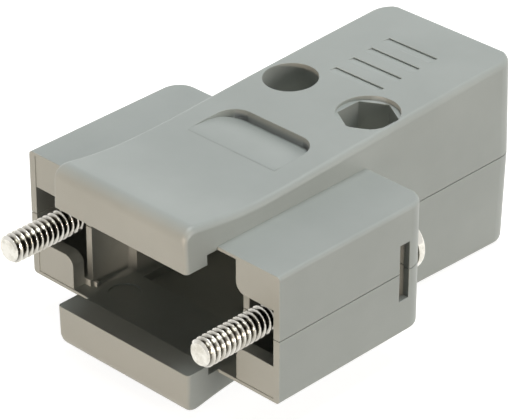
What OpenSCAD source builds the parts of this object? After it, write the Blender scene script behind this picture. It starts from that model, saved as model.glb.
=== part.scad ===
// Moulded two-shell hood for a nine-way D-subminiature connector, with two long jackscrews.
// The two shells are the same moulding: the lower one is the upper one turned half a turn
// about the long axis. +X is to the right, +Y runs back towards the cable, +Z is up.
// The part's own frame has Y = 0 on the ears' front faces and Z = 0 on the parting plane;
// the finished part stands with its origin under the middle of its box.

/* [Body] */
// Width of the body at the parting plane
body_w = 17.6; // [17:0.1:20]
// Distance from the ears' front faces back to the rear face
body_len = 41; // [40:0.5:50]
// Reach of the two lips in front of the ears
lip_reach = 4; // [3.6:0.1:5]
// Half height at which the lips start, above and below the mouth
lip_half_h = 5.3; // [4.8:0.1:6]
// Draft angle of the sides
draft = 1.8; // [0:0.1:3]
// Distance back to the waist, where the body is lowest
waist_y = 6; // [4:0.5:9]
// Half height of the body at the waist
waist_half_h = 8.8; // [8.4:0.05:9.2]
// Radius of the hollow curve ahead of the waist, where the lips flare
flare_r = 44; // [35:1:90]
// Radius of the hollow curve behind the waist
waist_r = 110; // [90:5:200]
// Distance back to where the hollow curve turns into the crown
crown_y = 12; // [10:0.5:16]
// Half height of the body at the rear face
rear_half_h = 10.15; // [9.8:0.05:11]
// Thickness of the side walls at the parting plane
side_wall = 1.1; // [0.9:0.05:1.6]
// Thickness of the top and bottom walls
top_wall = 1.6; // [1.2:0.1:2]
// Thickness of the rear wall
rear_wall = 1.6; // [1.2:0.1:2.5]

/* [Body edges] */
// Radius of the long top edges
edge_r = 0.65; // [0.4:0.05:1.5]
// Radius over the lips' front edges
front_top_r = 1.6; // [1:0.1:2.5]
// Radius of the lips' upright front corners
front_corner_r = 0.4; // [0.3:0.05:1.5]
// Radius of the rear face's long edges
rear_top_r = 0.6; // [0.3:0.1:1.2]
// Radius of the upright rear corners
rear_corner_r = 2.4; // [1.6:0.1:3]

/* [Ears] */
// Length of the ears along the body
ear_len = 19.5; // [17:0.1:22]
// Thickness of the ears' outer walls beside the jackscrews
ear_side_wall = 0.75; // [0.6:0.05:1.2]
// Thickness of the ears' front walls
ear_front_wall = 1.4; // [1:0.1:2]
// Thickness of the ears' rear walls, which carry the jackscrews
ear_rear_wall = 2.3; // [1.8:0.1:3]
// Thickness of the walls between the ears and the connector pocket
ear_inner_wall = 0.75; // [0.6:0.05:1]
// Gap between those walls and the ears' front walls
inner_wall_gap = 0.35; // [0.2:0.05:0.8]
// Clearance between those walls and the jackscrews
jack_room = 0.375; // [0.25:0.025:0.6]
// Size of the foot at the front end of each of those walls
foot_size = 0.5; // [0.4:0.1:1]
// Thickness of the ears' top and bottom walls over the jackscrews
ear_top_wall = 1.05; // [0.9:0.05:1.4]
// Thickness left over the mouth, between its edge and the ear's top face
rim_wall = 0.35; // [0.25:0.05:0.6]
// How far the ears' rims stand ahead of the flange's seat
seat_depth = 0.1; // [0.05:0.05:0.3]
// Radius of the ears' outer top edges
ear_edge_r = 0.4; // [0.3:0.05:1.4]
// Radius of the ears' upright rear corners
ear_corner_r = 2.2; // [1.6:0.1:3]
// Half height of the side windows beside the mouth
window_half_h = 2.9; // [2.4:0.1:3.6]
// Radius of the corners between mouth and side windows
window_corner_r = 1.1; // [0.5:0.1:1.5]
// Half height of the slot in each ear's outer wall
side_slot_half_h = 3; // [2:0.1:4]
// Width of the slot in each ear's outer wall
side_slot_w = 1.3; // [1:0.1:2]
// Distance from that slot to the ear's rear wall
side_slot_gap = 0.2; // [0.1:0.1:1]

/* [Connector seat] */
// Width of the connector's flange
flange_w = 30.8; // [30.6:0.1:31.2]
// Height of the connector's flange
flange_h = 12.5; // [12.3:0.1:12.7]
// Clearance round the flange
flange_fit = 0.05; // [0.02:0.01:0.1]
// Width of the slot that the flange slides into
slot_t = 1.37; // [1.1:0.01:1.6]
// Depth of the pocket behind the ears' front faces
pocket_depth = 6.2; // [5:0.1:8]
// Width of the ledge at each side behind the pocket, which stops the connector
pocket_ledge = 1.35; // [1:0.05:2]

/* [Jackscrews] */
// Distance between the two jackscrews
jack_spacing = 24.99; // [24.8:0.01:25.2]
// Outside diameter of the jackscrew thread, 4-40 UNC
jack_d = 2.84; // [2.6:0.02:3]
// Diameter of a jackscrew's shank, which is slimmer so that the thread can't pass the ear
jack_shank_d = 2.4; // [2.2:0.02:2.5]
// Length of a jackscrew under its head
jack_len = 25.9; // [24:0.1:30]
// Length of a jackscrew's full thread, from its tip
jack_thread_len = 8.05; // [7:0.05:8.2]
// Length over which that thread runs out into the shank
jack_runout = 0.95; // [0.6:0.05:1.3]
// Diameter of a jackscrew's head
jack_head_d = 5.4; // [5:0.1:6]
// Height of a jackscrew's head
jack_head_h = 1.7; // [1.2:0.1:2.2]
// Width of the slot in a jackscrew's head
jack_slot_w = 0.9; // [0.6:0.1:1.2]
// Clearance round a jackscrew in the ear's rear wall
jack_fit = 0.08; // [0.04:0.01:0.1]
// Gap between a jackscrew's head and the ear
jack_head_gap = 0.05; // [0.02:0.01:0.1]

/* [Clamp screws] */
// Distance of each clamp screw from the middle
clamp_x = 5; // [4.6:0.1:5.4]
// Distance from the ears' front faces back to the clamp screws
clamp_y = 23.4; // [22:0.1:26]
// Diameter of the clamp screws' thread, M2.5
clamp_d = 2.5; // [2:0.1:2.6]
// Length of a clamp screw under its head
clamp_len = 10; // [9:0.5:12]
// Diameter of a clamp screw's head
clamp_head_d = 5; // [4.5:0.1:5.2]
// Height of a clamp screw's head
clamp_head_h = 2.1; // [1.6:0.1:2.3]
// Width of the slot in a clamp screw's head
clamp_slot_w = 0.7; // [0.5:0.1:1]
// Width across the nut's flats
nut_af = 5; // [4.8:0.1:5.2]
// Thickness of the nut
nut_h = 2; // [1.6:0.1:2.2]
// Clearance round a clamp screw in the shells
clamp_fit = 0.15; // [0.1:0.05:0.3]
// Clearance round a clamp screw's head in its counterbore
head_fit = 0.22; // [0.1:0.02:0.3]
// Clearance on each flat of the nut in its pocket
nut_fit = 0.05; // [0.02:0.01:0.15]
// Clearance between a screw's thread and the piece it is screwed into
thread_fit = 0.03; // [0.02:0.01:0.06]
// Wall round the counterbore and the nut pocket
boss_wall = 0.6; // [0.5:0.05:0.8]
// Wall round the clamp screw, at the parting plane
boss_foot_wall = 1.1; // [0.9:0.1:1.3]
// Diameter of the shallow ring round the nut pocket
nut_ring_d = 6.2; // [6:0.1:7]
// Depth of the shallow ring round the nut pocket
nut_ring_depth = 0.35; // [0.2:0.05:0.6]

/* [Grip] */
// Half width of the finger recess
recess_half_w = 5.6; // [5:0.1:6.5]
// Distance back to the finger recess's upright rear wall
recess_y = 16.2; // [15:0.1:18]
// Length of the recess's scoop
recess_run = 6; // [4:0.1:8]
// Depth of the recess at its rear wall
recess_depth = 1.1; // [0.8:0.05:1.3]
// Radius of the recess's rear corners
recess_r = 2.2; // [1.5:0.1:2.6]
// Number of grip lines
grip_count = 4; // [2:1:5]
// Half width of a grip line
grip_half_w = 3.1; // [2.5:0.1:4]
// Distance back to the first grip line
grip_y = 27.7; // [27:0.1:29]
// Distance between grip lines
grip_pitch = 2.54; // [2:0.02:3]
// Length of a grip line's scoop
grip_run = 1.2; // [0.6:0.1:1.6]
// Depth of a grip line
grip_depth = 0.2; // [0.1:0.05:0.3]

/* [Cable] */
// Diameter of the cable entry
entry_d = 8.2; // [6:0.1:9]
// Distance from the ears' front faces back to the strain relief
bar_y = 34; // [33:0.5:36]
// Width of a strain-relief bar along the cable
bar_w = 6; // [4:0.5:7]
// Radius of the saddle that grips the cable
saddle_r = 3.4; // [2.5:0.1:3.6]
// Thickness of a bar behind its saddle
bar_back = 1.2; // [1:0.1:1.6]
// Gap between the two bars
bar_gap = 0.8; // [0.4:0.1:1.5]
// Distance of each strain-relief screw from its end of the bars
bar_screw_end = 2.25; // [2:0.05:2.5]
// Diameter of the strain-relief screws' thread, M2
bar_screw_d = 2; // [1.6:0.1:2.2]
// Length of a strain-relief screw under its head
bar_screw_len = 8; // [6:0.5:8.5]
// Diameter of a strain-relief screw's head
bar_head_d = 4; // [3.5:0.1:4.2]
// Height of a strain-relief screw's head
bar_head_h = 1.6; // [1.2:0.1:1.8]
// Clearance between the bars and the shells
bar_fit = 0.15; // [0.1:0.05:0.25]
// Thickness of the ribs that locate the bars
rib_t = 1; // [0.8:0.1:1.2]
// Half width of the rib that backs each bar
bar_seat_half_w = 2.2; // [1.5:0.1:2.6]
// Half height at which the locating ribs end
rib_end = 1.5; // [1:0.1:2.5]

/* [Moulding marks] */
// Diameter of the two ejector marks beside the mouth
mark_side_d = 3.2; // [2.5:0.1:4]
// Diameter of the ejector mark in the middle
mark_mid_d = 2.6; // [2:0.1:3.5]
// Distance of the side marks from the middle
mark_x = 6.9; // [6:0.1:7.5]
// Distance back to the side marks
mark_y = 3; // [2.6:0.1:4]
// Depth of an ejector mark
mark_depth = 0.15; // [0.1:0.05:0.3]

/* [Hidden] */

$fn = 64;
// Cutters reach this far past what they cut
over = 1;
// Segments in a quarter-round edge of the body
arc_n = 7;
// Longest step between the body's sections
step = 1.5;
// Segments in the floor of a scoop
scoop_n = 8;

flange_half_h = flange_h / 2 + flange_fit;
ear_half_h = flange_half_h + rim_wall;
seat_half_w = flange_w / 2 + flange_fit;
ear_half_w = seat_half_w + ear_side_wall;
jack_x = jack_spacing / 2;
channel_x = jack_x - jack_d / 2 - jack_room;
pocket_half_w = channel_x - ear_inner_wall;
mouth_half_w = channel_x + flange_fit;
wire_half_w = pocket_half_w - pocket_ledge;
channel_end = ear_len - ear_rear_wall;
cavity_half_w = body_w / 2 - side_wall;
jack_y = ear_len + jack_head_gap;
seat_z = (clamp_len - nut_h) / 2;
nut_corner_r = (nut_af / 2 + nut_fit) / cos(30);
head_pocket_r = clamp_head_d / 2 + head_fit;
boss_foot_r = clamp_d / 2 + clamp_fit + boss_foot_wall;
bar_outer_z = saddle_r + bar_back;
bar_half_len = cavity_half_w - bar_fit;
bar_screw_x = bar_half_len - bar_screw_end;

// Middle of the box: the jackscrews' tips lie at its front, the rear face at its back
frame_y = (body_len + min(jack_y - jack_len, -lip_reach)) / 2;
frame_z = rear_half_h;

shell_colour = "#A5A69F";
steel_colour = "#C9C8C4";
zinc_colour = "#BDB9AC";

// ---- outline of the body ----

// Height and slope of the hollow where the crown takes over
crown_h = waist_half_h + pow(crown_y - waist_y, 2) / (2 * waist_r);
crown_slope = (crown_y - waist_y) / waist_r;
crown_run = body_len - rear_top_r - crown_y;
crown_fall = (crown_h + crown_slope * crown_run - rear_half_h) / pow(crown_run, 2);

// Half height of the body: a hollow over the waist that runs on as a long crowned rise
function half_h(y) =
    let (c = min(y - crown_y, crown_run))
    y < crown_y ? waist_half_h + pow(y - waist_y, 2) / (2 * (y < waist_y ? flare_r : waist_r))
                : crown_h + crown_slope * c - crown_fall * c * c;

// How far a quarter round of radius r stands back at a distance d from its end face
function inset(r, d) = d < r ? r - sqrt(r * r - pow(r - d, 2)) : 0;

// Distances from an end face at which its two rounds, one over the other, need a section
function end_steps(r1, r2) =
    let (a = min(r1, r2), b = max(r1, r2), start = acos(1 - a / b))
    concat([for (i = [0 : 4]) a * (1 - cos(22.5 * i))],
           [for (i = [1 : 4]) b * (1 - cos(start + (90 - start) * i / 4))]);

// Places of the sections from the lips' front to the rear face
front_steps = end_steps(front_top_r, front_corner_r);
rear_steps = end_steps(rear_top_r, rear_corner_r);
front_end = -lip_reach + front_steps[len(front_steps) - 1];
rear_start = body_len - rear_steps[len(rear_steps) - 1];
mid_n = ceil((rear_start - front_end) / step);
section_ys = concat(
    [for (d = front_steps) d - lip_reach],
    [for (i = [1 : mid_n - 1]) front_end + (rear_start - front_end) * i / mid_n],
    [for (i = [len(rear_steps) - 1 : -1 : 0]) body_len - rear_steps[i]]);

// One section: flat foot on the parting plane, drafted sides, rounded top corners
function section(y) =
    let (front = y + lip_reach, rear = body_len - y, r = edge_r,
         h = half_h(y) - inset(front_top_r, front) - inset(rear_top_r, rear),
         w = body_w / 2 - inset(front_corner_r, front) - inset(rear_corner_r, rear),
         cx = w - (h - r) * tan(draft) - r / cos(draft),
         corner = [for (i = [0 : arc_n])
             let (a = draft + (90 - draft) * i / arc_n) [cx + r * cos(a), y, h - r + r * sin(a)]])
    concat([[w, y, 0]], corner,
           [for (i = [arc_n : -1 : 0]) [-corner[i][0], y, corner[i][2]]], [[-w, y, 0]]);

// Solid upper half of the body, lofted through its sections
module body_half() {
    rows = [for (y = section_ys) section(y)];
    m = len(rows[0]);
    n = len(rows);
    polyhedron(
        points = [for (row = rows) each row],
        faces = concat(
            [[for (j = [m - 1 : -1 : 0]) j]],
            [[for (j = [0 : m - 1]) (n - 1) * m + j]],
            [for (i = [0 : n - 2], j = [0 : m - 1])
                let (k = (j + 1) % m) [i * m + j, i * m + k, (i + 1) * m + k, (i + 1) * m + j]]));
}

// Space inside the body, standing back by the given walls
module body_space(side, top, rear) {
    ys = [for (i = [0 : 10]) pocket_depth + (body_len - rear - pocket_depth) * i / 10];
    outline = concat([[ys[0], -over]], [for (y = ys) [y, half_h(y) - top]], [[ys[10], -over]]);
    translate([-(body_w / 2 - side), 0, 0]) rotate([90, 0, 90])
        linear_extrude(body_w - 2 * side) polygon(outline);
}

// ---- ears ----

// Upright profile of an ear's edge: w across, with its top corner rounded
module ear_profile(w) {
    square([w, ear_half_h - ear_edge_r]);
    square([w - ear_edge_r, ear_half_h]);
    translate([w - ear_edge_r, ear_half_h - ear_edge_r]) circle(ear_edge_r);
}

// Right half of the block that both ears are cut from
module ear_half_block() {
    corner_x = ear_half_w - ear_corner_r;
    corner_y = ear_len - ear_corner_r;
    translate([0, corner_y, 0]) rotate([90, 0, 0])
        linear_extrude(corner_y + seat_depth) ear_profile(ear_half_w);
    rotate([90, 0, 90]) linear_extrude(corner_x) ear_profile(ear_len);
    translate([corner_x, corner_y, 0]) rotate_extrude() ear_profile(ear_corner_r);
}

// Opening of the mouth and its side windows, in the plane of the ears' front walls
module mouth_outline() {
    translate([-mouth_half_w, -over]) square([2 * mouth_half_w, flange_half_h + over]);
    translate([-seat_half_w, -over]) square([2 * seat_half_w, window_half_h + over]);
    for (s = [-1, 1]) scale([s, 1]) difference() {
        translate([mouth_half_w - over, window_half_h - over]) square(window_corner_r + over);
        translate([mouth_half_w + window_corner_r, window_half_h + window_corner_r])
            circle(window_corner_r);
    }
}

// Everything that the connector, its flange and the jackscrews need in the front
module front_space() {
    // between the lips
    translate([-body_w, -lip_reach - over, -over])
        cube([2 * body_w, lip_reach + over - slot_t / 2, lip_half_h + over]);
    // slot and seat for the flange
    translate([-seat_half_w, -slot_t, -over])
        cube([2 * seat_half_w, slot_t, flange_half_h + over]);
    // mouth and side windows
    translate([0, ear_front_wall, 0]) rotate([90, 0, 0])
        linear_extrude(ear_front_wall + slot_t / 2) mouth_outline();
    // pocket for the connector
    translate([-pocket_half_w, ear_front_wall - slot_t / 2, -over])
        cube([2 * pocket_half_w, pocket_depth - ear_front_wall + slot_t / 2, flange_half_h + over]);
    // room for the wires between the ears
    translate([-wire_half_w, pocket_depth - over, -over])
        cube([2 * wire_half_w, channel_end - pocket_depth + over, flange_half_h + over]);
    // gap behind the ears' front walls, which sets the pocket's walls free from them
    translate([-mouth_half_w, ear_front_wall - slot_t / 2, -over])
        cube([2 * mouth_half_w, inner_wall_gap + slot_t / 2, ear_half_h - ear_top_wall + over]);
    // channels for the jackscrews, and the slots in the ears' outer walls
    for (s = [-1, 1]) scale([s, 1, 1]) {
        translate([channel_x, ear_front_wall, -over])
            cube([seat_half_w - channel_x, channel_end - ear_front_wall,
                  ear_half_h - ear_top_wall + over]);
        translate([seat_half_w - over, channel_end - side_slot_gap - side_slot_w, -over])
            cube([ear_half_w - seat_half_w + 2 * over, side_slot_w, side_slot_half_h + over]);
        translate([jack_x, channel_end - over, 0]) rotate([-90, 0, 0])
            cylinder(r = jack_shank_d / 2 + jack_fit, h = ear_rear_wall + 2 * over);
    }
}

// ---- inside of the body ----

// Boss for a clamp screw: a slim foot on the parting plane under a wide pocket
module boss(x, pocket_r) {
    translate([x, clamp_y, 0]) {
        cylinder(r = boss_foot_r, h = seat_z);
        translate([0, 0, seat_z - boss_wall]) cylinder(r = pocket_r + boss_wall, h = rear_half_h);
    }
}

// Feet of the pocket's walls, where they end behind the mouth
module wall_feet() {
    for (s = [-1, 1]) scale([s, 1, 1])
        translate([pocket_half_w - foot_size, ear_front_wall + inner_wall_gap,
                   flange_half_h - foot_size])
            cube([foot_size + ear_inner_wall / 2, foot_size, foot_size + rim_wall / 2]);
}

// Ribs that hold the strain relief: one in front, one behind, one on its back
module bar_ribs() {
    for (s = [-1, 1])
        translate([-body_w / 2, bar_y + s * (bar_w / 2 + bar_fit + rib_t / 2) - rib_t / 2, rib_end])
            cube([body_w, rib_t, rear_half_h]);
    translate([-bar_seat_half_w, bar_y - bar_w / 2, bar_outer_z + bar_fit])
        cube([2 * bar_seat_half_w, bar_w, rear_half_h]);
}

// ---- outside details ----

// Cutter with an upright rear wall and a scooped floor that rises and fades out to the front
module scoop_cutter(y, run, depth, half_w, corner_r) {
    floor = [for (i = [scoop_n : -1 : 0])
        let (s = i / scoop_n) [y - s * run, half_h(y - s * run) - depth * pow(1 - s, 2)]];
    intersection() {
        translate([-half_w, 0, 0]) rotate([90, 0, 90]) linear_extrude(2 * half_w)
            polygon(concat(floor, [[y + over, half_h(y) - depth], [y + over, rear_half_h + over],
                                   [y - run, rear_half_h + over]]));
        translate([0, y, 0]) linear_extrude(rear_half_h + 2 * over) {
            translate([-half_w, -2 * run]) square([2 * half_w, 2 * run - corner_r]);
            translate([-half_w + corner_r, -2 * run]) square([2 * (half_w - corner_r), 2 * run]);
            for (s = [-1, 1]) if (corner_r > 0)
                translate([s * (half_w - corner_r), -corner_r]) circle(corner_r);
        }
    }
}

// Holes, pockets and marks that go in after the bosses and ribs are there
module late_cuts() {
    top = rear_half_h + over;
    // round counterbore on the left, hexagon pocket in a shallow ring on the right
    for (s = [-1, 1]) translate([s * clamp_x, clamp_y, -over])
        cylinder(r = clamp_d / 2 + clamp_fit, h = top);
    translate([-clamp_x, clamp_y, seat_z]) cylinder(r = head_pocket_r, h = top);
    translate([clamp_x, clamp_y, seat_z]) rotate([0, 0, 30])
        cylinder(r = nut_corner_r, h = top, $fn = 6);
    translate([clamp_x, clamp_y, half_h(clamp_y) - nut_ring_depth])
        cylinder(d = nut_ring_d, h = top);
    // cable entry, which also arches the ribs
    translate([0, bar_y - bar_w / 2 - rib_t - over, 0]) rotate([-90, 0, 0])
        cylinder(d = entry_d, h = body_len - bar_y + bar_w / 2 + rib_t + 2 * over);
    // finger recess and grip lines
    scoop_cutter(recess_y, recess_run, recess_depth, recess_half_w, recess_r);
    for (i = [0 : grip_count - 1])
        scoop_cutter(grip_y + i * grip_pitch, grip_run, grip_depth, grip_half_w, 0);
    // ejector marks
    for (s = [-1, 1]) translate([s * mark_x, mark_y, 0])
        cylinder(d = mark_side_d, h = flange_half_h + mark_depth);
}

// One moulding, as the upper shell
module half_shell() {
    difference() {
        union() {
            difference() {
                union() {
                    body_half();
                    ear_half_block();
                    mirror([1, 0, 0]) ear_half_block();
                }
                body_space(side_wall, top_wall, rear_wall);
                front_space();
            }
            wall_feet();
            intersection() {
                body_space(side_wall / 2, top_wall / 2, rear_wall / 2);
                union() {
                    boss(-clamp_x, head_pocket_r);
                    boss(clamp_x, nut_corner_r);
                    bar_ribs();
                }
            }
        }
        late_cuts();
    }
}

// ---- screws, nuts and strain relief ----

// Slotted pan head, with its underside at height 0
module pan_head(d, h, slot_w) {
    rim = h * 0.35;
    difference() {
        rotate_extrude() polygon(concat([[0, 0], [d / 2, 0]],
            [for (a = [0 : 15 : 90]) [d / 2 * cos(a), rim + (h - rim) * sin(a)]]));
        translate([-d, -slot_w / 2, h * 0.5]) cube([2 * d, slot_w, h]);
    }
}

// Thread as a plain cylinder with a chamfered tip, from its tip at height bottom up to top
module thread(d, bottom, top) {
    tip = d * 0.12;
    translate([0, 0, bottom + tip]) cylinder(d = d, h = top - bottom - tip);
    translate([0, 0, bottom]) cylinder(r1 = d / 2 - tip, r2 = d / 2, h = tip);
}

// Screw that is threaded up to its slotted pan head
module pan_screw(d, length, head_d, head_h, slot_w) {
    thread(d, -length, head_h / 4);
    pan_head(head_d, head_h, slot_w);
}

// Hexagon nut on its axis, two corners towards +Y and -Y
module nut(af, height, hole_d) {
    difference() {
        rotate([0, 0, 30]) cylinder(r = af / 2 / cos(30), h = height, $fn = 6);
        translate([0, 0, -over]) cylinder(d = hole_d, h = height + 2 * over);
    }
}

// Strain-relief bar, as the upper one
module clamp_bar(hole_d) {
    difference() {
        translate([-bar_half_len, bar_y - bar_w / 2, bar_gap / 2])
            cube([2 * bar_half_len, bar_w, bar_outer_z - bar_gap / 2]);
        translate([0, bar_y - bar_w / 2 - over, 0]) rotate([-90, 0, 0])
            cylinder(r = saddle_r, h = bar_w + 2 * over);
        for (s = [-1, 1]) translate([s * bar_screw_x, bar_y, 0])
            cylinder(d = hole_d, h = bar_outer_z + over);
    }
}

module jackscrew(s) {
    thread_top = jack_thread_len - jack_len;
    color(steel_colour) place() translate([s * jack_x, jack_y, 0]) rotate([-90, 0, 0]) {
        thread(jack_d, -jack_len, thread_top);
        translate([0, 0, thread_top])
            cylinder(r1 = jack_d / 2, r2 = jack_shank_d / 2, h = jack_runout);
        translate([0, 0, thread_top])
            cylinder(d = jack_shank_d, h = jack_head_h / 4 - thread_top);
        pan_head(jack_head_d, jack_head_h, jack_slot_w);
    }
}

// The left clamp screw goes in from the top, the right one from below
module clamp_screw(s) {
    color(steel_colour) place() turned(s > 0) translate([-clamp_x, clamp_y, seat_z])
        pan_screw(clamp_d, clamp_len, clamp_head_d, clamp_head_h, clamp_slot_w);
}

module clamp_nut(s) {
    color(zinc_colour) place() turned(s < 0) translate([clamp_x, clamp_y, seat_z])
        nut(nut_af, nut_h, clamp_d + 2 * thread_fit);
}

module cable_clamp_screw(s) {
    color(steel_colour) place() translate([s * bar_screw_x, bar_y, bar_outer_z])
        pan_screw(bar_screw_d, bar_screw_len, bar_head_d, bar_head_h, clamp_slot_w);
}

// Turns a piece half a turn about the long axis when asked
module turned(yes) {
    rotate([0, yes ? 180 : 0, 0]) children();
}

// Moves the part's own frame to where its box stands on the origin
module place() {
    translate([0, -frame_y, frame_z]) children();
}

module upper_shell() {
    color(shell_colour) place() half_shell();
}

module lower_shell() {
    color(shell_colour) place() turned(true) half_shell();
}

module cable_clamp_upper() {
    color(zinc_colour) place() clamp_bar(bar_screw_d + 2 * bar_fit);
}

module cable_clamp_lower() {
    color(zinc_colour) place() turned(true) clamp_bar(bar_screw_d + 2 * thread_fit);
}

upper_shell();
lower_shell();
jackscrew(-1);  // jackscrew_left
jackscrew(1);  // jackscrew_right
clamp_screw(-1);  // clamp_screw_left
clamp_screw(1);  // clamp_screw_right
clamp_nut(-1);  // clamp_nut_left
clamp_nut(1);  // clamp_nut_right
cable_clamp_upper();
cable_clamp_lower();
cable_clamp_screw(-1);  // cable_clamp_screw_left
cable_clamp_screw(1);  // cable_clamp_screw_right
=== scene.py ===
"""Visual model of a moulded two-shell connector hood with two long jackscrews.

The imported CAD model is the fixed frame. The shells and strain-relief bars are merged,
softly edged copies of their CAD nodes; screws and nuts are worked out as surfaces.
Lengths of the pieces are in millimetres and become metres when a mesh is made; places in
the studio are in metres, unless their names end in mm.
"""

import sys

import logging
import math
from dataclasses import dataclass, field
from enum import Enum

import bmesh
import bpy
import numpy as np
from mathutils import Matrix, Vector


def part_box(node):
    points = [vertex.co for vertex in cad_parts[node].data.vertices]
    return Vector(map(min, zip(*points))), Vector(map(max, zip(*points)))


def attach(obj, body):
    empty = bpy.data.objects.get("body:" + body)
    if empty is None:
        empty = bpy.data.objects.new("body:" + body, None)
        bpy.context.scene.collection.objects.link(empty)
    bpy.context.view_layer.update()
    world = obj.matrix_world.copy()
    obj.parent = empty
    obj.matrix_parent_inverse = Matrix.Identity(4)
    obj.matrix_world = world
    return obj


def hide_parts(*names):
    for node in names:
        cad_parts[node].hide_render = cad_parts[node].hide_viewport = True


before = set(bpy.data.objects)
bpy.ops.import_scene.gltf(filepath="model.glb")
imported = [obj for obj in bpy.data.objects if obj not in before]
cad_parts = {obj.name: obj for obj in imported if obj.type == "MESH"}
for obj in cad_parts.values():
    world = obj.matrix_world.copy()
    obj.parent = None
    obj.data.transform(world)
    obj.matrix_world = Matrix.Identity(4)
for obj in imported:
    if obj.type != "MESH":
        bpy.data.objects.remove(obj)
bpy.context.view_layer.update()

log = logging.getLogger("hood")
MM = 0.001
# Points closer to each other than this are merged into one
MERGE_MM = 0.0005
# Meshes' own attribute: how deep in a thread's root a point lies, which sets the painted shade
# there
ROOT = "thread_root"
# Sockets of Blender's Mix node for colours, which share their names with its others
MIX_FIRST, MIX_SECOND, MIX_RESULT = 6, 7, 2


class Slot(Enum):
    """The record's material slots."""

    PLASTIC = "hood_plastic"
    NICKEL = "nickel_steel"
    ZINC = "zinc_steel"


class Body(Enum):
    """The CAD bodies that pieces ride on."""

    HOOD = "hood"
    JACK_LEFT = "jack_left"
    JACK_RIGHT = "jack_right"


# ---- small helpers ----


def linear(hex_colour: str) -> tuple[float, float, float, float]:
    """Turn an sRGB hex value into linear colour.

    Args:
        hex_colour: six hex digits, with or without a leading hash.

    Returns:
        Linear red, green and blue, and an alpha of 1.
    """
    digits = hex_colour.lstrip("#")
    parts = [int(digits[i : i + 2], 16) / 255 for i in (0, 2, 4)]
    low = [c / 12.92 if c <= 0.04045 else ((c + 0.055) / 1.055) ** 2.4 for c in parts]
    return (low[0], low[1], low[2], 1.0)


def add_node(tree: bpy.types.NodeTree, kind: str, settings: dict, links: dict) -> bpy.types.Node:
    """Add a shader node with its settings and the links into it.

    Args:
        tree: the node tree that gets the node.
        kind: Blender's name for the kind of node.
        settings: attribute names, or socket names and numbers, with their values.
        links: socket names or numbers of the node, with the output that feeds each.

    Returns:
        The new node.
    """
    node = tree.nodes.new(kind)
    for name, value in settings.items():
        if isinstance(name, str) and hasattr(node, name):
            setattr(node, name, value)
        else:
            node.inputs[name].default_value = value
    for name, source in links.items():
        tree.links.new(source, node.inputs[name])
    return node


def new_material(name: str) -> tuple[bpy.types.Material, bpy.types.NodeTree, bpy.types.Node]:
    """Make a material with nodes.

    Args:
        name: the material's name.

    Returns:
        The material, its node tree and its Principled shader.
    """
    material = bpy.data.materials.new(name)
    material.use_nodes = True
    tree = material.node_tree
    return material, tree, tree.nodes["Principled BSDF"]


# ---- finishes ----


@dataclass(frozen=True)
class MouldedABS:
    """Grey ABS, injection moulded in a spark-eroded tool.

    ABS is an opaque plastic, and the tool's fine even grain gives it a dull satin sheen.
    The flow of the plastic leaves very faint lighter and darker clouds.
    """

    name: str = "moulded_abs_grey"
    base: str = "#A7ABA6"
    cloud_dark: str = "#A2A6A1"
    ior: float = 1.53
    roughness: float = 0.42
    # Flow marks are as wide as the walls between ribs and bosses
    cloud_mm: float = 7.0
    # Noise levels at which a cloud is wholly dark and wholly light
    cloud_span: tuple[float, float] = (0.35, 0.65)
    # The tool's grain is about 0.03 mm wide, and is drawn coarser, so that it shows
    grain_mm: float = 0.11
    grain_depth_mm: float = 0.004
    grain_strength: float = 0.5
    # Noise levels of the grain's low and high places, and the change of roughness there
    grain_span: tuple[float, float] = (0.3, 0.7)
    gloss_span: tuple[float, float] = (-0.05, 0.06)

    def build(self) -> bpy.types.Material:
        """Make the material.

        Returns:
            The node-based material.
        """
        material, tree, shader = new_material(self.name)
        place = add_node(tree, "ShaderNodeTexCoord", {}, {}).outputs["Object"]
        cloud = add_node(tree, "ShaderNodeTexNoise",
                         {"Scale": 1 / (self.cloud_mm * MM), "Detail": 3.0, "Roughness": 0.55},
                         {"Vector": place}).outputs[0]
        grain = add_node(tree, "ShaderNodeTexNoise",
                         {"Scale": 1 / (self.grain_mm * MM), "Detail": 2.0, "Roughness": 0.6},
                         {"Vector": place}).outputs[0]
        share = add_node(tree, "ShaderNodeMapRange",
                         {"From Min": self.cloud_span[0], "From Max": self.cloud_span[1]},
                         {"Value": cloud}).outputs[0]
        colour = add_node(tree, "ShaderNodeMix",
                          {"data_type": "RGBA", MIX_FIRST: linear(self.cloud_dark),
                           MIX_SECOND: linear(self.base)},
                          {"Factor": share}).outputs[MIX_RESULT]
        gloss = add_node(tree, "ShaderNodeMapRange",
                         {"From Min": self.grain_span[0], "From Max": self.grain_span[1],
                          "To Min": self.roughness + self.gloss_span[0],
                          "To Max": self.roughness + self.gloss_span[1]},
                         {"Value": grain}).outputs[0]
        bump = add_node(tree, "ShaderNodeBump",
                        {"Strength": self.grain_strength, "Distance": self.grain_depth_mm * MM},
                        {"Height": grain}).outputs[0]
        tree.links.new(colour, shader.inputs["Base Color"])
        tree.links.new(gloss, shader.inputs["Roughness"])
        tree.links.new(bump, shader.inputs["Normal"])
        shader.inputs["IOR"].default_value = self.ior
        return material


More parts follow.
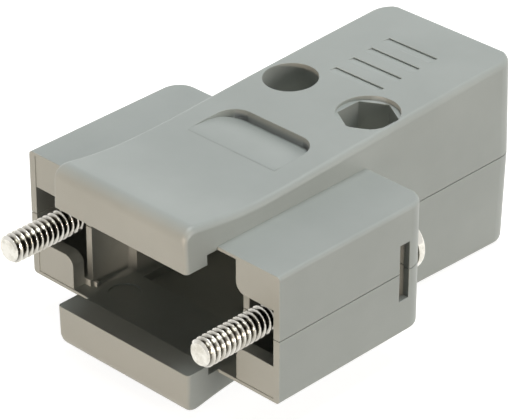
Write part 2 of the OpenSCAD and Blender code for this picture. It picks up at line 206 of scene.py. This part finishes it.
@dataclass(frozen=True)
class PlatedSteel:
    """Turned or rolled steel under a thin bright plate.

    Nickel is bright and slightly warm, zinc is duller. Fine marks of the tool stay under
    the plate and break up its highlights, and handling leaves slightly duller spots. The
    roots of a thread are painted darker, as painted shade and painted dark reflection.
    """

    name: str
    base: str
    worn: str
    roughness: float
    # Painted shade and dark reflection: the colour that a thread's roots are darkened towards
    root_shade: str = "#3A352C"
    # Spots of handling, a few to the width of a screw's head
    spot_mm: float = 1.3
    # Noise levels at which a spot is wholly worn and wholly bright
    spot_span: tuple[float, float] = (0.35, 0.55)
    # Noise levels of the dull and the bright spots, and the change of roughness there
    wear_span: tuple[float, float] = (0.3, 0.7)
    gloss_span: tuple[float, float] = (0.05, -0.04)
    # Marks of the tool are about 0.05 mm apart, and are drawn coarser, so that they show
    mark_mm: float = 0.12
    mark_depth_mm: float = 0.003
    mark_strength: float = 0.25

    def build(self) -> bpy.types.Material:
        """Make the material.

        Returns:
            The node-based material.
        """
        material, tree, shader = new_material(self.name)
        place = add_node(tree, "ShaderNodeTexCoord", {}, {}).outputs["Object"]
        spots = add_node(tree, "ShaderNodeTexNoise",
                         {"Scale": 1 / (self.spot_mm * MM), "Detail": 4.0, "Roughness": 0.6},
                         {"Vector": place}).outputs[0]
        marks = add_node(tree, "ShaderNodeTexNoise",
                         {"Scale": 1 / (self.mark_mm * MM), "Detail": 2.0, "Roughness": 0.5},
                         {"Vector": place}).outputs[0]
        root = add_node(tree, "ShaderNodeAttribute", {"attribute_name": ROOT}, {}).outputs["Fac"]
        share = add_node(tree, "ShaderNodeMapRange",
                         {"From Min": self.spot_span[0], "From Max": self.spot_span[1]},
                         {"Value": spots}).outputs[0]
        plate = add_node(tree, "ShaderNodeMix",
                         {"data_type": "RGBA", MIX_FIRST: linear(self.worn),
                          MIX_SECOND: linear(self.base)},
                         {"Factor": share}).outputs[MIX_RESULT]
        # The roots of a thread are painted darker, as painted shade and dark reflection
        root_shaded = add_node(tree, "ShaderNodeMix",
                         {"data_type": "RGBA", MIX_SECOND: linear(self.root_shade)},
                         {"Factor": root, MIX_FIRST: plate}).outputs[MIX_RESULT]
        gloss = add_node(tree, "ShaderNodeMapRange",
                         {"From Min": self.wear_span[0], "From Max": self.wear_span[1],
                          "To Min": self.roughness + self.gloss_span[0],
                          "To Max": self.roughness + self.gloss_span[1]},
                         {"Value": spots}).outputs[0]
        bump = add_node(tree, "ShaderNodeBump",
                        {"Strength": self.mark_strength, "Distance": self.mark_depth_mm * MM},
                        {"Height": marks}).outputs[0]
        tree.links.new(root_shaded, shader.inputs["Base Color"])
        tree.links.new(gloss, shader.inputs["Roughness"])
        tree.links.new(bump, shader.inputs["Normal"])
        shader.inputs["Metallic"].default_value = 1.0
        return material


NICKEL = PlatedSteel("nickel_plated_steel", "#DEDBD3", "#C6C2B7", 0.14)
ZINC = PlatedSteel("zinc_plated_steel", "#C2BEB1", "#A8A498", 0.30)


# ---- meshes ----


def grid_faces(rows: int, columns: int, closed_rows: bool, closed_columns: bool) -> np.ndarray:
    """Quads of a grid of points, numbered row by row.

    Args:
        rows: number of rows.
        columns: number of points in a row.
        closed_rows: whether the last row joins the first.
        closed_columns: whether the last point of a row joins the first.

    Returns:
        Point numbers of each quad, one quad a line.
    """
    i = np.arange(rows if closed_rows else rows - 1)[:, None]
    j = np.arange(columns if closed_columns else columns - 1)[None, :]
    i2, j2 = (i + 1) % rows, (j + 1) % columns
    quads = np.stack([i * columns + j, i * columns + j2, i2 * columns + j2, i2 * columns + j], -1)
    return quads.reshape(-1, 4)


@dataclass
class Surface:
    """Points in millimetres and faces of one piece, collected from its surfaces."""

    points: list[np.ndarray] = field(default_factory=list)
    faces: list[np.ndarray] = field(default_factory=list)
    roots: list[np.ndarray] = field(default_factory=list)

    def add(self, grid: np.ndarray, closed_rows: bool = False, closed_columns: bool = False,
            root: np.ndarray | float = 0.0) -> None:
        """Add a grid of points as a surface.

        Args:
            grid: rows by columns by 3 coordinates, in millimetres.
            closed_rows: whether the last row joins the first.
            closed_columns: whether the last point of a row joins the first.
            root: how deep in a thread's root each point lies, from 0 to 1.
        """
        start = sum(len(p) for p in self.points)
        self.points.append(grid.reshape(-1, 3))
        self.roots.append(np.broadcast_to(root, grid.shape[:2]).ravel())
        self.faces.append(start + grid_faces(*grid.shape[:2], closed_rows, closed_columns))

    def mesh(self, name: str, smooth_angle: float) -> bpy.types.Mesh:
        """Make a closed Blender mesh with its faces outwards.

        Args:
            name: the mesh's name.
            smooth_angle: faces that meet at less than this, in degrees, shade as one.

        Returns:
            The mesh, in metres.
        """
        mesh = bpy.data.meshes.new(name)
        mesh.from_pydata(np.concatenate(self.points) * MM, [], np.concatenate(self.faces))
        mesh.attributes.new(ROOT, "FLOAT", "POINT").data.foreach_set(
            "value", np.concatenate(self.roots).astype(np.float32))
        work = bmesh.new()
        work.from_mesh(mesh)
        bmesh.ops.remove_doubles(work, verts=work.verts, dist=MERGE_MM * MM)
        bmesh.ops.recalc_face_normals(work, faces=work.faces)
        work.to_mesh(mesh)
        work.free()
        mesh.shade_smooth()
        mesh.set_sharp_from_angle(angle=math.radians(smooth_angle))
        return mesh


def round_profile(radii: np.ndarray, heights: np.ndarray, columns: int) -> np.ndarray:
    """Turn a profile about the Z axis: x = r sin(a), y = r cos(a), z = height.

    Args:
        radii: radius for each row and column, or for each row.
        heights: height for each row and column, or for each row.
        columns: number of points round the axis.

    Returns:
        Grid of points.
    """
    turn = np.linspace(0, 2 * np.pi, columns, endpoint=False)[None, :]
    r = radii if radii.ndim == 2 else radii[:, None]
    z = heights if heights.ndim == 2 else heights[:, None]
    return np.stack(np.broadcast_arrays(r * np.sin(turn), r * np.cos(turn), z + 0 * turn), -1)


def join_object(mesh: bpy.types.Mesh, body: Body, material: bpy.types.Material,
                node: str) -> bpy.types.Object:
    """Make the object of a finished mesh, dress it, and tie it to the CAD frame.

    Args:
        mesh: the finished mesh, in place.
        body: the CAD body that it rides on.
        material: its material.
        node: the CAD node that it stands for.

    Returns:
        The object.
    """
    piece = bpy.data.objects.new(mesh.name, mesh)
    bpy.context.scene.collection.objects.link(piece)
    mesh.materials.clear()
    mesh.materials.append(material)
    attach(piece, body.value)
    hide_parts(node)
    log.info("%s: %d points, %d faces", piece.name, len(mesh.vertices), len(mesh.polygons))
    return piece


# ---- the hood's two shells and the strain relief ----


@dataclass
class CutFromFrame:
    """A piece whose shape is its CAD node's, with softened edges.

    The node's triangles are merged and its flat faces joined, and every outward edge
    sharper than an angle then gets a small round, as a moulding or a punched part has.
    """

    node: str
    name: str
    slot: Slot
    material: bpy.types.Material
    edge_mm: float
    sharp_deg: float = 28.0
    flat_deg: float = 0.3
    segments: int = 2

    def reshape(self, mesh: bpy.types.Mesh) -> None:
        """Change the copied mesh before its edges are rounded; a plain piece stays as it is.

        Args:
            mesh: the copied mesh.
        """

    def build(self) -> bpy.types.Object:
        """Make the piece from a merged copy of its node.

        Returns:
            The object.
        """
        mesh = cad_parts[self.node].data.copy()
        mesh.name = self.name
        self.reshape(mesh)
        limit = math.radians(self.sharp_deg)
        work = bmesh.new()
        work.from_mesh(mesh)
        bmesh.ops.remove_doubles(work, verts=work.verts, dist=MERGE_MM * MM)
        bmesh.ops.dissolve_limit(work, angle_limit=math.radians(self.flat_deg),
                                 verts=work.verts, edges=work.edges)
        weight = work.edges.layers.float.new("bevel_weight_edge")
        for edge in work.edges:
            edge[weight] = float(edge.is_convex and edge.calc_face_angle(0) > limit)
        work.to_mesh(mesh)
        work.free()
        mesh.shade_smooth()
        mesh.set_sharp_from_angle(angle=limit)
        piece = join_object(mesh, Body.HOOD, self.material, self.node)
        bevel = piece.modifiers.new("edge", "BEVEL")
        bevel.width = self.edge_mm * MM
        bevel.segments = self.segments
        bevel.limit_method = "WEIGHT"
        bevel.use_clamp_overlap = False
        even = piece.modifiers.new("flat_faces_stay_flat", "WEIGHTED_NORMAL")
        even.keep_sharp = True
        return piece


@dataclass
class Moulding(CutFromFrame):
    """One of the two shells, with a hairline gap on the plane where they meet."""

    seam_gap_mm: float = 0.035
    seam_reach_mm: float = 0.001

    def reshape(self, mesh: bpy.types.Mesh) -> None:
        """Draw the points on the parting plane back from it, by this shell's share of the gap.

        The upper shell starts above the table, so its lowest face is on the parting plane;
        the lower shell's highest face is.

        Args:
            mesh: the copied mesh, which is changed.
        """
        low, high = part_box(self.node)
        upper = low[2] > self.seam_reach_mm * MM
        seam = low[2] if upper else high[2]
        points = np.empty(3 * len(mesh.vertices), np.float32)
        mesh.vertices.foreach_get("co", points)
        height = points[2::3]
        back = self.seam_gap_mm * MM * (1 if upper else -1)
        height[np.abs(height - seam) < self.seam_reach_mm * MM] += back
        mesh.vertices.foreach_set("co", points)


# ---- screws ----


class HeadTo(Enum):
    """Which way a screw's head points, as the turn that lays the screw that way.

    Each row says what one of the frame's axes takes from the screw's own three.
    """

    BACK = ((1, 0, 0), (0, 0, 1), (0, -1, 0))
    UP = ((1, 0, 0), (0, 1, 0), (0, 0, 1))
    DOWN = ((1, 0, 0), (0, -1, 0), (0, 0, -1))


@dataclass(frozen=True)
class ScrewSize:
    """Sizes of a slotted pan-head screw, and how finely it is drawn.

    Without a length of its own the thread goes up to the head, and without a shank's
    diameter there is no slimmer shank behind it.
    """

    diameter: float
    pitch: float
    head_d: float
    head_h: float
    slot_w: float
    thread_len: float = 0.0
    shank_d: float = 0.0
    runout: float = 0.0
    columns: int = 64
    rows_a_pitch: int = 22


@dataclass
class SlottedScrew:
    """A slotted pan-head screw with a rolled right-hand thread.

    It is worked out with its head up and the underside of its head at height 0, and then
    laid along its own axis at the place of its CAD node.
    """

    node: str
    name: str
    body: Body
    head_to: HeadTo
    size: ScrewSize
    material: bpy.types.Material
    # Thread, as shares of the pitch: its depth, half its crest and its flank
    depth_share: float = 0.6134
    crest_share: float = 0.07
    flank_share: float = 0.33
    root_ease: float = 0.06
    # Tip: the cone's height over the diameter, and the ring drawn inside the flat's rim
    cone_share: float = 0.12
    tip_ring_share: float = 0.93
    tip_step: float = 0.004
    # Head, as shares of its height: its rim, the slot's floor and how far the shank goes in
    rim_share: float = 0.35
    floor_share: float = 0.5
    overlap_share: float = 0.25
    # Head's grid: chords on each side of the slot and in it, points over it and under it
    side_chords: int = 13
    slot_chords: int = 5
    points_over: int = 25
    points_under: int = 5
    smooth_deg: float = 38.0

    def thread_radius(self, phase: np.ndarray) -> np.ndarray:
        """Radius of a 60 degree thread over one pitch.

        A pitch has a flat crest a seventh of it wide, straight flanks, and a flat root. The
        share of the way from crest to root is the distance from the crest, less half the
        crest's width, over the flank's width, eased a little towards the root.

        Args:
            phase: place along the pitch, from 0 at a crest to 1 at the next.

        Returns:
            Radius for each phase.
        """
        away = 0.5 - np.abs((phase % 1.0) - 0.5)
        share = np.clip((away - self.crest_share) / self.flank_share, 0, 1)
        eased = share - self.root_ease * np.sin(np.pi * share) * share
        return self.size.diameter / 2 - self.depth_share * self.size.pitch * eased

    def shank(self, length: float) -> tuple[np.ndarray, np.ndarray]:
        """Surface of thread and shank from the flat tip up into the head.

        The radius is the thread's, with its phase turning once a pitch; over the run-out
        it goes over to the shank's, and at the tip it stays inside a 45 degree cone.

        Args:
            length: length under the head.

        Returns:
            Grid of points, with the tip closed in a point on the axis, and how deep in the
            thread's root each lies, from 0 to 1.
        """
        size, radius = self.size, self.size.diameter / 2
        cone = size.diameter * self.cone_share
        thread_end = -length + (size.thread_len or length)
        fine = size.pitch / size.rows_a_pitch
        run_end = min(thread_end + size.runout, 0.0)
        count = int(round((run_end + length) / fine))
        inside = size.head_h * self.overlap_share
        h = np.concatenate([
            [-length] * 3, [-length + self.tip_step],
            np.linspace(-length + fine, run_end, count), [inside] * 2])[:, None]
        turn = np.linspace(0, 1, size.columns, endpoint=False)[None, :]
        r = self.thread_radius(h / size.pitch - turn)
        if size.shank_d:
            fade = np.clip((h - thread_end) / max(size.runout, fine), 0, 1)
            r = r + (size.shank_d / 2 - r) * fade
        r = np.minimum(r, radius - cone + np.maximum(h + length, 0))
        r[[0, -1]] = 0.0
        r[1] *= self.tip_ring_share
        root = np.clip((radius - r) / (self.depth_share * size.pitch), 0, 1)
        root = np.where((h > -length + cone) & (h < run_end), root, 0)
        return round_profile(r, np.broadcast_to(h, r.shape), size.columns), root

    def head(self) -> np.ndarray:
        """Surface of the slotted pan head.

        Chords run across the head: a chord at x has half length sqrt(R^2 - x^2). Along
        each, the surface goes out over the flat underside, up the rim, over the crown of
        height rim + (H - rim) sqrt(1 - (d/R)^2) and back; inside the slot it stays at the
        slot's floor. Two chords stand together at each side of the slot, for its walls.

        Returns:
            Grid of points, a chord to a row.
        """
        radius, half_slot = self.size.head_d / 2, self.size.slot_w / 2
        rim, floor = self.size.head_h * self.rim_share, self.size.head_h * self.floor_share
        start = np.arcsin(half_slot / radius)
        side = radius * np.sin(np.linspace(start, np.pi / 2, self.side_chords))
        inner = np.linspace(-half_slot, half_slot, self.slot_chords)
        x = np.concatenate([-side[::-1], inner, side])[:, None]
        in_slot = np.repeat([False, True, False],
                            [self.side_chords, self.slot_chords, self.side_chords])[:, None]
        half = np.sqrt(np.maximum(radius**2 - x**2, 0))
        y_top = half * np.sin(np.linspace(-np.pi / 2, np.pi / 2, self.points_over))
        d = np.minimum(np.hypot(x, y_top) / radius, 1)
        crown = rim + (self.size.head_h - rim) * np.sqrt(1 - d**2)
        top = np.where(in_slot, np.minimum(crown, floor), crown)
        y = np.concatenate([y_top, half * np.linspace(1, -1, self.points_under)], 1)
        z = np.concatenate([top, np.zeros((len(x), self.points_under))], 1)
        return np.stack([np.broadcast_to(x, y.shape), y, z], -1)

    def build(self) -> bpy.types.Object:
        """Make the screw and lay it at its CAD node.

        Returns:
            The object.
        """
        low, high = (np.array(corner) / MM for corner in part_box(self.node))
        lay = np.array(self.head_to.value)
        run = int(np.argmax(np.abs(lay[:, 2])))
        up = lay[run, 2]
        origin = (low + high) / 2
        origin[run] = (high if up > 0 else low)[run] - up * self.size.head_h
        shank, root = self.shank(high[run] - low[run] - self.size.head_h)
        surface = Surface()
        surface.add(shank @ lay.T + origin, closed_columns=True, root=root)
        surface.add(self.head() @ lay.T + origin, closed_columns=True)
        return join_object(surface.mesh(self.name, self.smooth_deg), self.body,
                           self.material, self.node)


@dataclass
class HexNut:
    """A hexagon nut with chamfered corners and a threaded hole, at its CAD node."""

    node: str
    name: str
    material: bpy.types.Material
    across_flats: float = 5.0
    hole_d: float = 2.5
    pitch: float = 0.45
    thread_depth: float = 0.22
    flank_share: float = 0.4
    mouth_chamfer: float = 0.12
    # Where the corners' chamfer starts, over half the width across flats, and its slope
    chamfer_share: float = 0.97
    chamfer_deg: float = 30.0
    columns: int = 96
    rows_a_pitch: int = 14
    smooth_deg: float = 25.0

    def build(self) -> bpy.types.Object:
        """Make the nut as one ring, with flats that face +X and -X.

        The outside radius is half the width across flats over the cosine of the angle from
        the middle of a flat. The chamfer lowers the side's edge by tan(30) of how far that
        radius passes the chamfer's start. The hole's radius is the thread's, which falls
        from the root in a straight flank as its phase nears a crest.

        Returns:
            The object.
        """
        low, high = (np.array(corner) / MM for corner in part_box(self.node))
        middle, height = (low + high) / 2, high[2] - low[2]
        turn = np.linspace(0, 2 * np.pi, self.columns, endpoint=False)
        from_flat = (turn + np.pi / 6) % (np.pi / 3) - np.pi / 6
        outer = self.across_flats / 2 / np.cos(from_flat)
        start = self.across_flats / 2 * self.chamfer_share
        drop = np.maximum(outer - start, 0) * math.tan(math.radians(self.chamfer_deg))
        ring = np.minimum(outer, start)
        count = int(round(height / self.pitch * self.rows_a_pitch))
        z = np.linspace(0, height, count)[:, None]
        phase = (z / self.pitch - turn / (2 * np.pi)) % 1.0
        away = 0.5 - np.abs(phase - 0.5)
        bore = self.hole_d / 2 - self.thread_depth * np.clip(1 - away / self.flank_share, 0, 1)
        mouth = self.hole_d / 2 + self.mouth_chamfer
        bore = np.maximum(bore, mouth - np.minimum(z, height - z))
        one = np.ones_like(turn)
        radii = np.concatenate([[mouth * one, ring, outer, outer, ring, mouth * one], bore[::-1]])
        heights = np.concatenate([
            [0 * one, 0 * one, drop, height - drop, height * one, height * one],
            np.broadcast_to(z[::-1], bore.shape)])
        grid = np.stack([middle[0] + radii * np.cos(turn), middle[1] + radii * np.sin(turn),
                         low[2] + heights], -1)
        surface = Surface()
        surface.add(grid, closed_rows=True, closed_columns=True)
        return join_object(surface.mesh(self.name, self.smooth_deg), Body.HOOD,
                           self.material, self.node)


# ---- the whole hood ----


@dataclass
class Hood:
    """The finished part: two shells, two jackscrews, clamp screws and nuts, strain relief."""

    shell_edge: float = 0.045
    bar_edge: float = 0.15
    # 4-40 UNC thread, with a slim shank behind it
    jackscrew: ScrewSize = ScrewSize(diameter=2.84, pitch=0.635, head_d=5.4, head_h=1.7,
                                     slot_w=0.9, thread_len=8.05, shank_d=2.4, runout=0.95)
    # M2.5 thread
    shell_screw: ScrewSize = ScrewSize(diameter=2.5, pitch=0.45, head_d=5.0, head_h=2.1,
                                       slot_w=0.7, columns=48, rows_a_pitch=14)
    # M2 thread
    relief_screw: ScrewSize = ScrewSize(diameter=2.0, pitch=0.4, head_d=4.0, head_h=1.6,
                                        slot_w=0.7, columns=40, rows_a_pitch=12)

    def shells_and_bars(self, abs_grey: bpy.types.Material,
                        zinc: bpy.types.Material) -> list[bpy.types.Object]:
        """Make the two shells, and the strain relief's two bars.

        Args:
            abs_grey: the shells' material.
            zinc: the bars' material.

        Returns:
            The four objects.
        """
        made = [Moulding(f"{half}_shell", f"moulding_{half}", Slot.PLASTIC, abs_grey,
                         self.shell_edge).build() for half in ("upper", "lower")]
        made += [CutFromFrame(f"cable_clamp_{half}", f"relief_bar_{half}", Slot.ZINC, zinc,
                              self.bar_edge).build() for half in ("upper", "lower")]
        return made

    def screws_and_nut(self, side: str, jack: Body, shell_head: HeadTo,
                       nickel: bpy.types.Material,
                       zinc: bpy.types.Material) -> list[bpy.types.Object]:
        """Make the jackscrew, shell screw, relief screw and nut of one side.

        Args:
            side: left or right, as in the CAD nodes' names.
            jack: the jackscrew's body.
            shell_head: which way the shell screw's head points.
            nickel: the screws' material.
            zinc: the nut's material.

        Returns:
            The four objects.
        """
        return [
            SlottedScrew(f"jackscrew_{side}", f"jackscrew_turned_{side}", jack, HeadTo.BACK,
                         self.jackscrew, nickel).build(),
            SlottedScrew(f"clamp_screw_{side}", f"shell_screw_{side}", Body.HOOD, shell_head,
                         self.shell_screw, nickel).build(),
            SlottedScrew(f"cable_clamp_screw_{side}", f"relief_screw_{side}", Body.HOOD,
                         HeadTo.UP, self.relief_screw, nickel).build(),
            HexNut(f"clamp_nut_{side}", f"shell_nut_{side}", zinc).build(),
        ]

    def build(self) -> list[bpy.types.Object]:
        """Make every piece of the hood.

        Returns:
            The objects.
        """
        abs_grey, nickel, zinc = MouldedABS().build(), NICKEL.build(), ZINC.build()
        return (self.shells_and_bars(abs_grey, zinc)
                + self.screws_and_nut("left", Body.JACK_LEFT, HeadTo.UP, nickel, zinc)
                + self.screws_and_nut("right", Body.JACK_RIGHT, HeadTo.DOWN, nickel, zinc))


# ---- studio ----


@dataclass(frozen=True)
class Softbox:
    """A square soft lamp that faces the part.

    At a distance of d metres, 9.87 d^2 watts light a face that is turned to the lamp to the
    level at which its colour looks as it is written. Each lamp here gives about half to
    two thirds of that, because most faces are lit by more than one.
    """

    name: str
    place: tuple[float, float, float]
    side: float
    watts: float
    colour: str
    mirrored: bool = True

    def hang(self) -> None:
        """Make the lamp; glossy surfaces show it only where it is mirrored."""
        light = bpy.data.lights.new(self.name, "AREA")
        light.size, light.energy, light.color = self.side, self.watts, linear(self.colour)[:3]
        lamp = bpy.data.objects.new(self.name, light)
        lamp.location = self.place
        lamp.visible_glossy = self.mirrored
        lamp.rotation_euler = (-Vector(self.place)).to_track_quat("-Z", "Y").to_euler()
        bpy.context.scene.collection.objects.link(lamp)


@dataclass
class Studio:
    """Pale floor, soft lamps, white surround and the camera."""

    camera_mm: tuple[float, float, float] = (168.75, -176.47, 154.22)
    aim_mm: tuple[float, float, float] = (-0.941, -2.259, 10.173)
    lens: float = 207.6
    sensor: float = 36.0
    clip: tuple[float, float] = (0.01, 10.0)
    white: str = "#FFFFFF"
    # How bright the surround is as light on the part
    surround: float = 0.05
    floor_colour: str = "#B5B3AE"
    floor_roughness: float = 0.8
    floor_half: float = 0.9
    # How far the floor lies under the part, so that their faces don't share a plane
    floor_drop: float = 0.0002
    # How brightly the floor shines to the eye: the lamps' light on it makes up the rest
    floor_glow: float = 0.88
    lamps: tuple[Softbox, ...] = (
        Softbox("top_softbox", (0.0, 0.12, 0.5), 0.3, 1.85, "#F6FCFF"),
        Softbox("front_softbox", (0.03, -0.6, 0.032), 0.06, 2.35, "#FFEBD8"),
        Softbox("side_softbox", (0.6, 0.15, 0.16), 0.28, 1.85, "#FFFBF6"),
        Softbox("back_softbox", (-0.5, 0.36, 0.15), 0.28, 1.9, "#FFFFFF", mirrored=False),
    )

    def white_to_eye(self, tree: bpy.types.NodeTree) -> bpy.types.NodeSocket:
        """Say whether a ray comes from the eye, a mirror or glass: the largest of the three.

        Args:
            tree: the node tree that gets the nodes.

        Returns:
            A socket that is 1 for such a ray, and 0 for light on the part.
        """
        path = add_node(tree, "ShaderNodeLightPath", {}, {})
        first = add_node(tree, "ShaderNodeMath", {"operation": "MAXIMUM"},
                         {0: path.outputs["Is Camera Ray"], 1: path.outputs["Is Glossy Ray"]})
        return add_node(tree, "ShaderNodeMath", {"operation": "MAXIMUM"},
                        {0: first.outputs[0],
                         1: path.outputs["Is Transmission Ray"]}).outputs[0]

    def world(self) -> None:
        """Surround the scene: white to the eye, softer as light on the part."""
        world = bpy.data.worlds.new("surround")
        bpy.context.scene.world = world
        world.use_nodes = True
        tree = world.node_tree
        background = tree.nodes["Background"]
        background.inputs["Color"].default_value = linear(self.white)
        level = add_node(tree, "ShaderNodeMapRange", {"To Min": self.surround, "To Max": 1.0},
                         {"Value": self.white_to_eye(tree)}).outputs[0]
        tree.links.new(level, background.inputs["Strength"])

    def floor(self) -> None:
        """Lay the pale floor under the part: white to the eye, but for a faint shadow."""
        half = self.floor_half
        mesh = bpy.data.meshes.new("floor")
        mesh.from_pydata([(-half, -half, 0), (half, -half, 0), (half, half, 0), (-half, half, 0)],
                         [], [(0, 1, 2, 3)])
        material, tree, shader = new_material("white_table")
        shader.inputs["Base Color"].default_value = linear(self.floor_colour)
        shader.inputs["Roughness"].default_value = self.floor_roughness
        shader.inputs["Emission Color"].default_value = linear(self.white)
        level = add_node(tree, "ShaderNodeMapRange", {"To Max": self.floor_glow},
                         {"Value": self.white_to_eye(tree)}).outputs[0]
        tree.links.new(level, shader.inputs["Emission Strength"])
        mesh.materials.append(material)
        plane = bpy.data.objects.new("floor", mesh)
        bpy.context.scene.collection.objects.link(plane)
        plane.location.z = -self.floor_drop

    def camera(self) -> None:
        """Set the camera where it sees front, right side and top."""
        lens = bpy.data.cameras.new("eye")
        lens.lens, lens.sensor_width = self.lens, self.sensor
        lens.clip_start, lens.clip_end = self.clip
        eye = bpy.data.objects.new("eye", lens)
        eye.location = Vector(self.camera_mm) * MM
        look = Vector(self.aim_mm) * MM - eye.location
        eye.rotation_euler = look.to_track_quat("-Z", "Y").to_euler()
        bpy.context.scene.collection.objects.link(eye)
        bpy.context.scene.camera = eye

    def build(self) -> None:
        """Set up floor, surround, lamps, camera and colour handling."""
        self.world()
        self.floor()
        for lamp in self.lamps:
            lamp.hang()
        self.camera()
        bpy.context.scene.view_settings.view_transform = "Standard"


def main() -> None:
    """Build the hood and the studio round it."""
    logging.basicConfig(level=logging.INFO, format="%(message)s", stream=sys.stdout)
    Hood().build()
    Studio().build()


if __name__ == "__main__":
    main()
